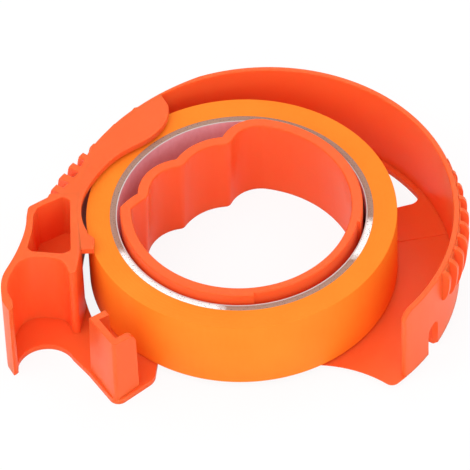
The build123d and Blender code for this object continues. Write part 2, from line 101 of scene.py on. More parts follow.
class Shader:
    """A node tree under construction.

    A Mix node has sockets of one name for each type, so they are picked by their places.
    """

    colour_inputs: tuple[int, int] = (6, 7)
    colour_output: int = 2
    float_inputs: tuple[int, int] = (2, 3)

    def __init__(self, tree: bpy.types.NodeTree) -> None:
        """Starts on a tree.

        Args:
            tree: the node tree that the nodes go into.
        """
        self.tree = tree

    def node(self, kind: str, **settings: object) -> bpy.types.Node:
        """Adds a node.

        Args:
            kind: the node's type, as bpy names it.
            settings: properties of the node and their values.

        Returns:
            The new node.
        """
        made = self.tree.nodes.new(kind)
        for name, value in settings.items():
            setattr(made, name, value)
        return made

    def link(self, start: bpy.types.NodeSocket, end: bpy.types.NodeSocket) -> None:
        """Links an output to an input."""
        self.tree.links.new(start, end)

    def feed(self, socket: bpy.types.NodeSocket, value: Value) -> None:
        """Links a socket to another, or sets its own value.

        Args:
            socket: the input to feed.
            value: an output socket, or the value to set.
        """
        if isinstance(value, bpy.types.NodeSocket):
            self.link(value, socket)
        else:
            socket.default_value = value

    def math(
        self, operation: str, first: Value, second: Value = 0.0, third: Value = 0.0, clamp: bool = False
    ) -> bpy.types.NodeSocket:
        """Adds a Math node.

        Args:
            operation: the node's operation.
            first: a socket or a number.
            second: a socket or a number.
            third: a socket or a number, where the operation has three inputs.
            clamp: whether the result stays between 0 and 1.

        Returns:
            The node's output.
        """
        made = self.node("ShaderNodeMath", operation=operation, use_clamp=clamp)
        for socket, value in zip(made.inputs, (first, second, third)):
            self.feed(socket, value)
        return made.outputs[0]

    def mix(self, share: Value, first: Value, second: Value) -> bpy.types.NodeSocket:
        """Mixes two colours.

        Args:
            share: the second colour's share, a socket or a number.
            first: a colour, or a socket that gives one.
            second: a colour, or a socket that gives one.

        Returns:
            The mixed colour's socket.
        """
        made = self.node("ShaderNodeMix", data_type="RGBA")
        self.feed(made.inputs["Factor"], share)
        for place, colour in zip(self.colour_inputs, (first, second)):
            self.feed(made.inputs[place], colour)
        return made.outputs[self.colour_output]


def new_group(name: str, inputs: dict[str, float], output: str) -> tuple[Shader, dict, bpy.types.NodeSocket]:
    """Starts a shader node group with named sockets.

    Args:
        name: the group's name.
        inputs: names of its number inputs and their defaults.
        output: the name of its number output.

    Returns:
        The shader of the group, its input sockets by name, and its output's socket.
    """
    tree = bpy.data.node_groups.new(name, "ShaderNodeTree")
    for label, value in inputs.items():
        socket = tree.interface.new_socket(label, in_out="INPUT", socket_type="NodeSocketFloat")
        socket.default_value = value
    tree.interface.new_socket(output, in_out="OUTPUT", socket_type="NodeSocketFloat")
    shader = Shader(tree)
    entry = shader.node("NodeGroupInput")
    ending = shader.node("NodeGroupOutput")
    return shader, {label: entry.outputs[label] for label in inputs}, ending.inputs[output]


class Effects:
    """Shader node groups that the materials share."""

    grain_detail: float = 4.0
    turn_detail: float = 2.0
    ragged_scale: float = 900.0

    def __init__(self) -> None:
        """Builds each group once."""
        self.drift = self._drift()
        self.grain = self._grain()
        self.turns = self._turns()
        self.arc = self._arc()

    @staticmethod
    def _drift() -> bpy.types.NodeTree:
        """Builds a slow, cloudy variation of tone.

        Returns:
            The group: Scale and Detail in, Mask out.
        """
        shader, entry, mask = new_group("Tone_drift", {"Scale": 20.0, "Detail": 3.0}, "Mask")
        place = shader.node("ShaderNodeTexCoord")
        noise = shader.node("ShaderNodeTexNoise")
        shader.link(place.outputs["Object"], noise.inputs["Vector"])
        shader.link(entry["Scale"], noise.inputs["Scale"])
        shader.link(entry["Detail"], noise.inputs["Detail"])
        shader.link(noise.outputs["Fac"], mask)
        return shader.tree

    def _grain(self) -> bpy.types.NodeTree:
        """Builds a fine surface grain, which may be drawn out along Z.

        Returns:
            The group: Scale and Z share in, Height out.
        """
        shader, entry, height = new_group("Surface_grain", {"Scale": 900.0, "Z share": 1.0}, "Height")
        place = shader.node("ShaderNodeTexCoord")
        stretch = shader.node("ShaderNodeCombineXYZ")
        stretch.inputs["X"].default_value = 1.0
        stretch.inputs["Y"].default_value = 1.0
        shader.link(entry["Z share"], stretch.inputs["Z"])
        drawn = shader.node("ShaderNodeVectorMath", operation="MULTIPLY")
        shader.link(place.outputs["Object"], drawn.inputs[0])
        shader.link(stretch.outputs[0], drawn.inputs[1])
        noise = shader.node("ShaderNodeTexNoise")
        noise.inputs["Detail"].default_value = self.grain_detail
        shader.link(drawn.outputs[0], noise.inputs["Vector"])
        shader.link(entry["Scale"], noise.inputs["Scale"])
        shader.link(noise.outputs["Fac"], height)
        return shader.tree

    def _turns(self) -> bpy.types.NodeTree:
        """Builds the edges of wound turns: rings about the Z axis, uneven in tone.

        Returns:
            The group: Turns per metre in, Mask out.
        """
        shader, entry, mask = new_group("Wound_turns", {"Turns per metre": 3000.0}, "Mask")
        place = shader.node("ShaderNodeTexCoord")
        flat = shader.node("ShaderNodeVectorMath", operation="MULTIPLY")
        flat.inputs[1].default_value = (1.0, 1.0, 0.0)
        shader.link(place.outputs["Object"], flat.inputs[0])
        radius = shader.node("ShaderNodeVectorMath", operation="LENGTH")
        shader.link(flat.outputs[0], radius.inputs[0])
        along = shader.math("MULTIPLY", radius.outputs["Value"], entry["Turns per metre"])
        noise = shader.node("ShaderNodeTexNoise", noise_dimensions="1D")
        noise.inputs["Scale"].default_value = 1.0
        noise.inputs["Detail"].default_value = self.turn_detail
        shader.link(along, noise.inputs["W"])
        shader.link(noise.outputs["Fac"], mask)
        return shader.tree

    def _arc(self) -> bpy.types.NodeTree:
        """Builds a mask over an arc about the Z axis, with soft ragged ends.

        Returns:
            The group: From and To angles and Softness in radians in, Mask out.
        """
        shader, entry, mask = new_group("Arc_mask", {"From": -0.5, "To": 0.5, "Softness": 0.1}, "Mask")
        place = shader.node("ShaderNodeTexCoord")
        split = shader.node("ShaderNodeSeparateXYZ")
        shader.link(place.outputs["Object"], split.inputs[0])
        middle = shader.math("MULTIPLY", shader.math("ADD", entry["From"], entry["To"]), 0.5)
        half = shader.math("MULTIPLY", shader.math("SUBTRACT", entry["To"], entry["From"]), 0.5)
        angle = shader.math("ARCTAN2", split.outputs["Y"], split.outputs["X"])
        off = shader.math("SUBTRACT", angle, middle)
        wrapped = shader.math("ARCTAN2", shader.math("SINE", off), shader.math("COSINE", off))
        noise = shader.node("ShaderNodeTexNoise")
        noise.inputs["Scale"].default_value = self.ragged_scale
        shader.link(place.outputs["Object"], noise.inputs["Vector"])
        centred = shader.math("SUBTRACT", noise.outputs["Fac"], 0.5)
        ragged = shader.math("MULTIPLY", centred, entry["Softness"])
        inside = shader.math("SUBTRACT", half, shader.math("ABSOLUTE", wrapped))
        reach = shader.math("ADD", inside, ragged)
        shader.link(shader.math("DIVIDE", reach, entry["Softness"], clamp=True), mask)
        return shader.tree


@dataclass(frozen=True)
class Finish:
    """What each finish is made from: a named Principled material."""

    name: str
    colour: Colour
    roughness: float

    def start(self) -> tuple[bpy.types.Material, Shader, bpy.types.Node]:
        """Starts the material.

        Returns:
            The material, its shader and its Principled node.
        """
        material = bpy.data.materials.new(self.name)
        material.use_nodes = True
        material.diffuse_color = self.colour
        shader = Shader(material.node_tree)
        surface = material.node_tree.nodes["Principled BSDF"]
        surface.inputs["Base Color"].default_value = self.colour
        surface.inputs["Roughness"].default_value = self.roughness
        return material, shader, surface

    @staticmethod
    def effect(shader: Shader, group: bpy.types.NodeTree, **values: float) -> bpy.types.NodeSocket:
        """Places an effect with its own values.

        Args:
            shader: the material's shader.
            group: the effect's node group.
            values: values of its inputs, with _ for a space.

        Returns:
            The effect's output.
        """
        made = shader.node("ShaderNodeGroup")
        made.node_tree = group
        for label, value in values.items():
            made.inputs[label.replace("_", " ")].default_value = value
        return made.outputs[0]

    @staticmethod
    def bump(
        shader: Shader, surface: bpy.types.Node, height: bpy.types.NodeSocket, depth: float, strength: float
    ) -> None:
        """Gives the surface a bump.

        Args:
            shader: the material's shader.
            surface: its Principled node.
            height: the height from 0 to 1.
            depth: the depth of the bump, in metres.
            strength: its share.
        """
        relief = shader.node("ShaderNodeBump")
        relief.inputs["Distance"].default_value = depth
        relief.inputs["Strength"].default_value = strength
        shader.link(height, relief.inputs["Height"])
        shader.link(relief.outputs["Normal"], surface.inputs["Normal"])


@dataclass(frozen=True)
class MouldedPlastic(Finish):
    """Glossy orange plastic that lets a little light in."""

    name: str = "orange_moulding"
    colour: Colour = (0.97, 0.136, 0.034, 1.0)
    roughness: float = 0.36
    shade: Colour = (0.95, 0.120, 0.027, 1.0)
    cloud_scale: float = 45.0
    cloud_detail: float = 2.0
    gloss_spread: float = 0.12
    specular: float = 0.26
    reflection: Colour = (1.0, 0.5, 0.38, 1.0)
    scatter: float = 0.4
    scatter_depth: float = 5.0 * MM
    scatter_colour: tuple[float, float, float] = (1.0, 0.12, 0.05)
    grain_scale: float = 650.0
    grain_depth: float = 0.03 * MM
    grain_strength: float = 0.25

    def build(self, effects: Effects) -> bpy.types.Material:
        """Makes the material.

        Args:
            effects: the shared node groups.

        Returns:
            The material.
        """
        material, shader, surface = self.start()
        cloud = self.effect(shader, effects.drift, Scale=self.cloud_scale, Detail=self.cloud_detail)
        shader.link(shader.mix(cloud, self.colour, self.shade), surface.inputs["Base Color"])
        glossiest = self.roughness - self.gloss_spread / 2
        gloss = shader.math("MULTIPLY_ADD", cloud, self.gloss_spread, glossiest)
        shader.link(gloss, surface.inputs["Roughness"])
        surface.inputs["Subsurface Weight"].default_value = self.scatter
        surface.inputs["Subsurface Radius"].default_value = self.scatter_colour
        surface.inputs["Subsurface Scale"].default_value = self.scatter_depth
        surface.inputs["Specular IOR Level"].default_value = self.specular
        surface.inputs["Specular Tint"].default_value = self.reflection
        grain = self.effect(shader, effects.grain, Scale=self.grain_scale, Z_share=1.0)
        self.bump(shader, surface, grain, self.grain_depth, self.grain_strength)
        return material


@dataclass(frozen=True)
class CrepedTape(Finish):
    """Orange masking tape: crepe across its width and the edges of its turns on the roll's faces."""

    name: str = "orange_masking_tape"
    colour: Colour = (0.98, 0.262, 0.022, 1.0)
    roughness: float = 0.62
    shade: Colour = (0.92, 0.185, 0.008, 1.0)
    specular: float = 0.12
    turns_per_metre: float = 7600.0
    crepe_scale: float = 800.0
    crepe_stretch: float = 0.2
    cloud_scale: float = 60.0
    cloud_detail: float = 3.0
    relief_depth: float = 0.05 * MM
    relief_strength: float = 0.5

    def build(self, effects: Effects) -> bpy.types.Material:
        """Makes the material.

        Args:
            effects: the shared node groups.

        Returns:
            The material.
        """
        material, shader, surface = self.start()
        turns = self.effect(shader, effects.turns, Turns_per_metre=self.turns_per_metre)
        crepe = self.effect(shader, effects.grain, Scale=self.crepe_scale, Z_share=self.crepe_stretch)
        cloud = self.effect(shader, effects.drift, Scale=self.cloud_scale, Detail=self.cloud_detail)
        ringed = shader.mix(turns, self.shade, self.colour)
        fibrous = shader.mix(crepe, self.shade, ringed)
        shader.link(shader.mix(cloud, fibrous, self.colour), surface.inputs["Base Color"])
        self.bump(shader, surface, shader.math("ADD", turns, crepe), self.relief_depth, self.relief_strength)
        surface.inputs["Specular IOR Level"].default_value = self.specular
        return material


@dataclass(frozen=True)
class CutBoard(Finish):
    """Grey-brown paperboard, cut across its plies, with dark specks on its rim and two white arcs of painted
    highlight.

    The painted highlights' ends and their softness are in degrees about the Z axis.
    """

    name: str = "grey_brown_core_board"
    colour: Colour = (0.41, 0.245, 0.185, 1.0)
    roughness: float = 0.85
    shade: Colour = (0.31, 0.19, 0.145, 1.0)
    # painted highlight: a near-white colour laid on two fixed arcs of the rim
    painted_highlight: Colour = (0.93, 0.92, 0.91, 1.0)
    painted_highlight_arcs: tuple[tuple[float, float], ...] = ((199.0, 262.0), (-34.0, -6.0))
    painted_highlight_softness: float = 5.0
    speck: Colour = (0.10, 0.085, 0.075, 1.0)
    speck_scale: float = 2600.0
    speck_detail: float = 1.0
    speck_from: float = 0.60
    speck_gain: float = 9.0
    specular: float = 0.1
    plies_per_metre: float = 4200.0
    fibre_scale: float = 1400.0
    relief_depth: float = 0.08 * MM
    relief_strength: float = 0.6

    def build(self, effects: Effects) -> bpy.types.Material:
        """Makes the material.

        Args:
            effects: the shared node groups.

        Returns:
            The material.
        """
        material, shader, surface = self.start()
        plies = self.effect(shader, effects.turns, Turns_per_metre=self.plies_per_metre)
        fibres = self.effect(shader, effects.grain, Scale=self.fibre_scale, Z_share=1.0)
        specks = self.effect(shader, effects.drift, Scale=self.speck_scale, Detail=self.speck_detail)
        rim = shader.mix(fibres, shader.mix(plies, self.shade, self.colour), self.colour)
        softness = math.radians(self.painted_highlight_softness)
        # paints the highlight: near-white over each arc of the rim, at fixed angles about the roll's axis
        for start, end in self.painted_highlight_arcs:
            ends = {"From": math.radians(start), "To": math.radians(end)}
            arc = self.effect(shader, effects.arc, Softness=softness, **ends)
            rim = shader.mix(arc, rim, self.painted_highlight)
        over = shader.math("SUBTRACT", specks, self.speck_from)
        dark = shader.math("MULTIPLY", over, self.speck_gain, clamp=True)
        shader.link(shader.mix(dark, rim, self.speck), surface.inputs["Base Color"])
        surface.inputs["Specular IOR Level"].default_value = self.specular
        self.bump(shader, surface, fibres, self.relief_depth, self.relief_strength)
        return material


@dataclass(frozen=True)
class LinerPaper(Finish):
    """Pale mauve liner paper inside the core, greyer on its cut rim."""

    name: str = "pale_liner_paper"
    colour: Colour = (0.92, 0.52, 0.60, 1.0)
    roughness: float = 0.8
    shade: Colour = (0.78, 0.34, 0.40, 1.0)
    rim: Colour = (0.62, 0.55, 0.53, 1.0)
    rim_height: float = 26.8 * MM
    rim_gain: float = 2e4
    fibre_scale: float = 700.0
    fibre_stretch: float = 0.6
    relief_depth: float = 0.05 * MM
    relief_strength: float = 0.4

    def build(self, effects: Effects) -> bpy.types.Material:
        """Makes the material.

        Args:
            effects: the shared node groups.

        Returns:
            The material.
        """
        material, shader, surface = self.start()
        fibres = self.effect(shader, effects.grain, Scale=self.fibre_scale, Z_share=self.fibre_stretch)
        inside = shader.mix(fibres, self.shade, self.colour)
        place = shader.node("ShaderNodeTexCoord")
        split = shader.node("ShaderNodeSeparateXYZ")
        shader.link(place.outputs["Object"], split.inputs[0])
        over = shader.math("SUBTRACT", split.outputs["Z"], self.rim_height)
        at_rim = shader.math("MULTIPLY", over, self.rim_gain, clamp=True)
        shader.link(shader.mix(at_rim, inside, self.rim), surface.inputs["Base Color"])
        self.bump(shader, surface, fibres, self.relief_depth, self.relief_strength)
        return material


def new_piece(name: str, bm: bmesh.types.BMesh, material: bpy.types.Material) -> bpy.types.Object:
    """Makes an object of a finished bmesh.

    Args:
        name: the piece's name.
        bm: its mesh, which is freed.
        material: its material.

    Returns:
        The object, at the origin.
    """
    mesh = bpy.data.meshes.new(name)
    bm.to_mesh(mesh)
    bm.free()
    mesh.materials.append(material)
    piece = bpy.data.objects.new(name, mesh)
    bpy.context.scene.collection.objects.link(piece)
    return piece


def merged_copy(source: bpy.types.Object) -> bmesh.types.BMesh:
    """Copies a CAD node's loose triangles into one joined mesh of flat faces.

    Args:
        source: the CAD node's object.

    Returns:
        The joined mesh.
    """
    bm = bmesh.new()
    bm.from_mesh(source.data)
    bmesh.ops.remove_doubles(bm, verts=bm.verts[:], dist=MERGE_DISTANCE)
    bmesh.ops.dissolve_degenerate(bm, edges=bm.edges[:], dist=MERGE_DISTANCE)
    bmesh.ops.dissolve_limit(bm, angle_limit=FLAT_TURN, verts=bm.verts[:], edges=bm.edges[:])
    bm.normal_update()
    return bm


@dataclass(frozen=True)
class NoseFlank:
    """The nose's flank behind its post, which leans a little towards the front."""

    edge_place: tuple[float, float] = (-50.2 * MM, -15.49 * MM)
    near_across: float = 0.05 * MM
    near_along: float = 0.3 * MM
    lean: float = 1.2 * MM

    def shape(self, bm: bmesh.types.BMesh) -> None:
        """Shifts the flank's front edge.

        Args:
            bm: the nose's mesh or the tab's.
        """
        for vert in bm.verts:
            across = abs(vert.co.x - self.edge_place[0])
            along = abs(vert.co.y - self.edge_place[1])
            if across < self.near_across and along < self.near_along:
                vert.co.x += self.lean


@dataclass(frozen=True)
class RightGrip:
    """The right grip's ribs: slim, with feet that rise towards both ends of the grip."""

    centre: tuple[float, float] = (2.785 * MM, -2.442 * MM)
    first_rib: float = math.radians(-26.5)
    rib_step: float = math.radians(42.5 / 9)
    slimness: float = 0.55
    middle: float = math.radians(-5.0)
    reach: float = math.radians(21.5)
    foot_rise: float = 0.36

    def shape(self, bm: bmesh.types.BMesh) -> None:
        """Makes the ribs slimmer and raises their feet.

        Args:
            bm: the right grip's mesh.
        """
        top = max(vert.co.z for vert in bm.verts)
        for vert in bm.verts:
            x, y = vert.co.x - self.centre[0], vert.co.y - self.centre[1]
            radius, angle = math.hypot(x, y), math.atan2(y, x)
            rib_angle = self.first_rib + round((angle - self.first_rib) / self.rib_step) * self.rib_step
            slim = rib_angle + (angle - rib_angle) * self.slimness
            vert.co.x = self.centre[0] + radius * math.cos(slim)
            vert.co.y = self.centre[1] + radius * math.sin(slim)
            height_share = 1.0 - self.foot_rise * ((rib_angle - self.middle) / self.reach) ** 2
            vert.co.z = top - (top - vert.co.z) * height_share


@dataclass(frozen=True)
class LeftGrip:
    """The left grip: last crests flush with the guard, grooves as scoops, and rib tips to be rounded."""

    guard_centre: tuple[float, float] = (7.0 * MM, -0.6 * MM)
    guard_outer: float = 59.1 * MM
    guard_chamfer: float = 0.4 * MM
    chamfer_end: float = math.radians(131.5)
    flank_inset: float = 0.93 * MM
    flank_middle: float = math.radians(130.0)
    flank_half: float = math.radians(22.0)
    crest_end: float = math.radians(139.2)
    crest_merge: float = 0.06 * MM
    level_from: float = 0.9
    grip_turn: float = math.radians(143.4)
    groove_floor: float = 55.43 * MM
    floor_near: float = 0.05 * MM
    scoop_height: float = 25.6 * MM
    scoop_near: float = 0.01 * MM
    scoop_reach: float = 3.6 * MM
    cut_near: float = 0.001 * MM
    tip_from: float = 57.2 * MM
    tip_first: float = math.radians(144.0)
    tip_last: float = math.radians(165.5)

    def shape(self, bm: bmesh.types.BMesh) -> None:
        """Cuts off the last crests and fills the grooves.

        Args:
            bm: the left grip's mesh.
        """
        self._lower_crests(bm)
        self._fill_grooves(bm)

    def tips(self, bm: bmesh.types.BMesh, least_turn: float) -> list[bmesh.types.BMEdge]:
        """Finds the upright edges of the rib tips.

        Args:
            bm: the left grip's mesh.
            least_turn: the least turn of such an edge, in radians.

        Returns:
            The edges.
        """
        found = []
        for edge in bm.edges:
            first, last = edge.verts
            upright = abs(first.co.z - last.co.z) >= edge.calc_length() / 2
            if not (upright and edge.is_convex and edge.calc_face_angle(0.0) >= least_turn):
                continue
            on_rib = self.tip_first < self._polar(first.co)[1] < self.tip_last
            if on_rib and min(self._reach(first.co), self._reach(last.co)) > self.tip_from:
                found.append(edge)
        return found

    def _polar(self, place: Vector) -> tuple[float, float]:
        """A place's distance from the guard's centre and its angle about it."""
        x, y = place.x - self.guard_centre[0], place.y - self.guard_centre[1]
        return math.hypot(x, y), math.atan2(y, x)

    def _reach(self, place: Vector) -> float:
        """How far a place lies from the guard's centre, straight across the grip."""
        x, y = place.x - self.guard_centre[0], place.y - self.guard_centre[1]
        return x * math.cos(self.grip_turn) + y * math.sin(self.grip_turn)

    def _crest_rise(self, place: Vector, top: float) -> float:
        """How far a place of the lowered crests stands out of the guard's outer face.

        Args:
            place: the place.
            top: the height of the grip's upper face.

        Returns:
            The distance in metres, or 0 where no crest is lowered.
        """
        radius, angle = self._polar(place)
        if not self.flank_middle - self.flank_half / 2 < angle < self.crest_end:
            return 0.0
        off_middle = (angle - self.flank_middle) / self.flank_half
        limit = self.guard_outer - self.flank_inset * (1.0 - off_middle ** 2)
        if angle < self.chamfer_end:
            limit -= max(0.0, place.z - (top - self.guard_chamfer))
        return max(0.0, radius - limit)

    def _lower_crests(self, bm: bmesh.types.BMesh) -> None:
        """Cuts off the last crests and closes their footprints, flush with the guard's outer face.

        Args:
            bm: the left grip's mesh.
        """
        top = max(vert.co.z for vert in bm.verts)
        proud = {vert for vert in bm.verts if self._crest_rise(vert.co, top) > self.crest_merge}
        crests = [
            face for face in bm.faces
            if abs(face.normal.z) < self.level_from and not proud.isdisjoint(face.verts)
        ]
        bmesh.ops.delete(bm, geom=crests, context="FACES")
        rims = [vert for vert in bm.verts if vert.is_boundary]
        for vert in rims:
            outward = Vector((vert.co.x - self.guard_centre[0], vert.co.y - self.guard_centre[1], 0.0))
            vert.co -= outward.normalized() * self._crest_rise(vert.co, top)
        bmesh.ops.remove_doubles(bm, verts=rims, dist=self.crest_merge)
        footprints = [edge for edge in bm.edges if edge.is_boundary]
        bmesh.ops.holes_fill(bm, edges=footprints, sides=0)
        bmesh.ops.recalc_face_normals(bm, faces=bm.faces[:])

    def _fill_grooves(self, bm: bmesh.types.BMesh) -> None:
        """Makes the grooves scoops that are deep at the top alone.

        Args:
            bm: the left grip's mesh.
        """
        bmesh.ops.bisect_plane(
            bm, geom=bm.verts[:] + bm.edges[:] + bm.faces[:], dist=self.cut_near,
            plane_co=(0.0, 0.0, self.scoop_height), plane_no=(0.0, 0.0, 1.0),
        )
        outward = Vector((math.cos(self.grip_turn), math.sin(self.grip_turn), 0.0))
        for vert in bm.verts:
            on_floor = abs(self._reach(vert.co) - self.groove_floor) < self.floor_near
            if on_floor and abs(vert.co.z - self.scoop_height) < self.scoop_near:
                vert.co += outward * self.scoop_reach


@dataclass(frozen=True)
class GuidePost:
    """The guide post's front leg: further forward, flush with its pad below, with a round front corner."""

    turn: float = math.radians(31.5)
    leg_depth: float = 5.0 * MM
    corner_near: float = 0.8 * MM
    top_shift: float = 1.8 * MM
    foot_shift: float = 2.5 * MM
    end_shift: float = 1.0 * MM
    side_shift: float = 0.45 * MM
    corner_radius: float = 1.3 * MM
    corner_segments: int = 4

    def shape(self, bm: bmesh.types.BMesh) -> None:
        """Shifts the front leg and rounds its corner.

        Args:
            bm: the guide post's mesh.
        """
        along = Vector((math.cos(self.turn), math.sin(self.turn), 0.0))
        back = Vector((-along.y, along.x, 0.0))
        first = min(vert.co.dot(along) for vert in bm.verts)
        front = min(vert.co.dot(back) for vert in bm.verts)
        low, high = min(vert.co.z for vert in bm.verts), max(vert.co.z for vert in bm.verts)
        corner = set()
        for vert in bm.verts:
            depth = vert.co.dot(back) - front
            if depth > self.leg_depth:
                continue
            at_corner = max(vert.co.dot(along) - first, depth) < self.corner_near
            height = (vert.co.z - low) / (high - low)
            foot = self.foot_shift if at_corner else self.end_shift
            vert.co -= back * (foot + (self.top_shift - foot) * height)
            if at_corner:
                vert.co -= along * self.side_shift * (1.0 - height)
                corner.add(vert)
        edges = [edge for edge in bm.edges if corner.issuperset(edge.verts)]
        bmesh.ops.bevel(
            bm, geom=edges, offset=self.corner_radius, segments=self.corner_segments, profile=ROUND_PROFILE,
            affect="EDGES", material=-1, clamp_overlap=True,
        )


@dataclass
class FrameMoulding:
    """The frame, one moulding in nine sub-parts that follow their CAD forms, with round free upper edges."""

    nodes: tuple[str, ...] = (
        "base_plate", "guard_wall", "retaining_tab", "left_grip", "right_grip", "hand_ring", "nose_housing",
        "guide_post", "cutter_comb",
    )
    rounded: tuple[str, ...] = ("base_plate", "retaining_tab", "left_grip", "nose_housing", "guide_post")
    flank: NoseFlank = NoseFlank()
    left_grip: LeftGrip = LeftGrip()
    right_grip: RightGrip = RightGrip()
    guide_post: GuidePost = GuidePost()
    edge_radius: float = 0.22 * MM
    tip_radius: float = 0.6 * MM
    segments: int = 2
    sharp_from: float = math.radians(52.0)
    least_turn: float = math.radians(60.0)
    probe_in: float = 0.12 * MM
    probe_out: float = 0.03 * MM
    probe_reach: float = 0.48 * MM

    def build(self, frame: dict, material: bpy.types.Material) -> list[bpy.types.Object]:
        """Builds every sub-part.

        Args:
            material: the moulding's material.

        Returns:
            The pieces.
        """
        meshes = self._shaped(frame)
        trees = {node: BVHTree.FromBMesh(bm) for node, bm in meshes.items()}
        pieces = []
        for node, bm in meshes.items():
            others = [tree for other, tree in trees.items() if other != node]
            self._mark_edges(bm, others, node in self.rounded)
            if node == "left_grip":
                self._mark_tips(bm)
            piece = new_piece(f"moulded_{node}", bm, material)
            self._round(piece)
            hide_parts(node)
            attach(piece, Body.FRAME.value)
            log.info("%s: %d faces before rounding", piece.name, len(piece.data.polygons))
            pieces.append(piece)
        return pieces

    def _shaped(self, frame: dict) -> dict[str, bmesh.types.BMesh]:
        """Copies each sub-part's mesh and shapes those that depart from their CAD form.


        Returns:
            The meshes, by node.
        """
        forms = {
            "nose_housing": self.flank,
            "retaining_tab": self.flank,
            "left_grip": self.left_grip,
            "right_grip": self.right_grip,
            "guide_post": self.guide_post,
        }
        meshes = {node: merged_copy(frame["nodes"][node]) for node in self.nodes}
        for node, form in forms.items():
            form.shape(meshes[node])
            meshes[node].normal_update()
        return meshes

    def _mark_edges(self, bm: bmesh.types.BMesh, others: list[BVHTree], rounded: bool) -> None:
        """Gives the free edges of the upper face a bevel weight, and makes the other turns sharp.

        Args:
            bm: the sub-part's mesh.
            others: trees of the other sub-parts.
            rounded: whether its upper edges are rounded.
        """
        top = max(vert.co.z for vert in bm.verts)
        weights = bm.edges.layers.float.new("bevel_weight_edge")
        for face in bm.faces:
            face.smooth = True
        for edge in bm.edges:
            turn = edge.calc_face_angle(0.0)
            edge.smooth = turn < self.sharp_from
            upper = min(vert.co.z for vert in edge.verts) > top - self.probe_out
            turned = turn > self.least_turn and edge.is_convex
            if rounded and upper and turned and not self._covered(edge, others):
                edge[weights] = self.edge_radius / self.tip_radius
                edge.smooth = True

    def _mark_tips(self, bm: bmesh.types.BMesh) -> None:
        """Gives the rib tips of the left grip the full bevel weight.

        Args:
            bm: the left grip's mesh.
        """
        weights = bm.edges.layers.float["bevel_weight_edge"]
        for edge in self.left_grip.tips(bm, self.least_turn):
            edge[weights] = 1.0
            edge.smooth = True

    def _covered(self, edge: bmesh.types.BMEdge, others: list[BVHTree]) -> bool:
        """Whether another sub-part lies against one of an edge's faces there.

        Args:
            edge: the edge.
            others: trees of the other sub-parts.

        Returns:
            True if it does.
        """
        middle = (edge.verts[0].co + edge.verts[1].co) / 2
        along = (edge.verts[1].co - edge.verts[0].co).normalized()
        for face in edge.link_faces:
            inward = face.normal.cross(along)
            if inward.dot(face.calc_center_median() - middle) < 0:
                inward = -inward
            point = middle + inward * self.probe_in + face.normal * self.probe_out
            for tree in others:
                place, normal, _, distance = tree.find_nearest(point)
                if place is not None and distance < self.probe_reach and (point - place).dot(normal) < 0:
                    return True
        return False

    def _round(self, piece: bpy.types.Object) -> None:
        """Rounds the weighted edges of a piece and keeps its flat faces flat in shading.

        Args:
            piece: the piece.
        """
        rounding = piece.modifiers.new("rounded_edges", "BEVEL")
        rounding.limit_method = "WEIGHT"
        rounding.width = self.tip_radius
        rounding.segments = self.segments
        rounding.profile = ROUND_PROFILE
        rounding.use_clamp_overlap = False
        rounding.miter_outer = "MITER_SHARP"
        shading = piece.modifiers.new("even_shading", "WEIGHTED_NORMAL")
        shading.keep_sharp = True


@dataclass(frozen=True)
class Ring:
    """One turned ring of the roll: name, CAD node, slot, inner radius, corner bevel and count of ridges."""

    name: str
    node: str
    slot: Slot
    inner: float
    corner: float
    bundles: int = 0


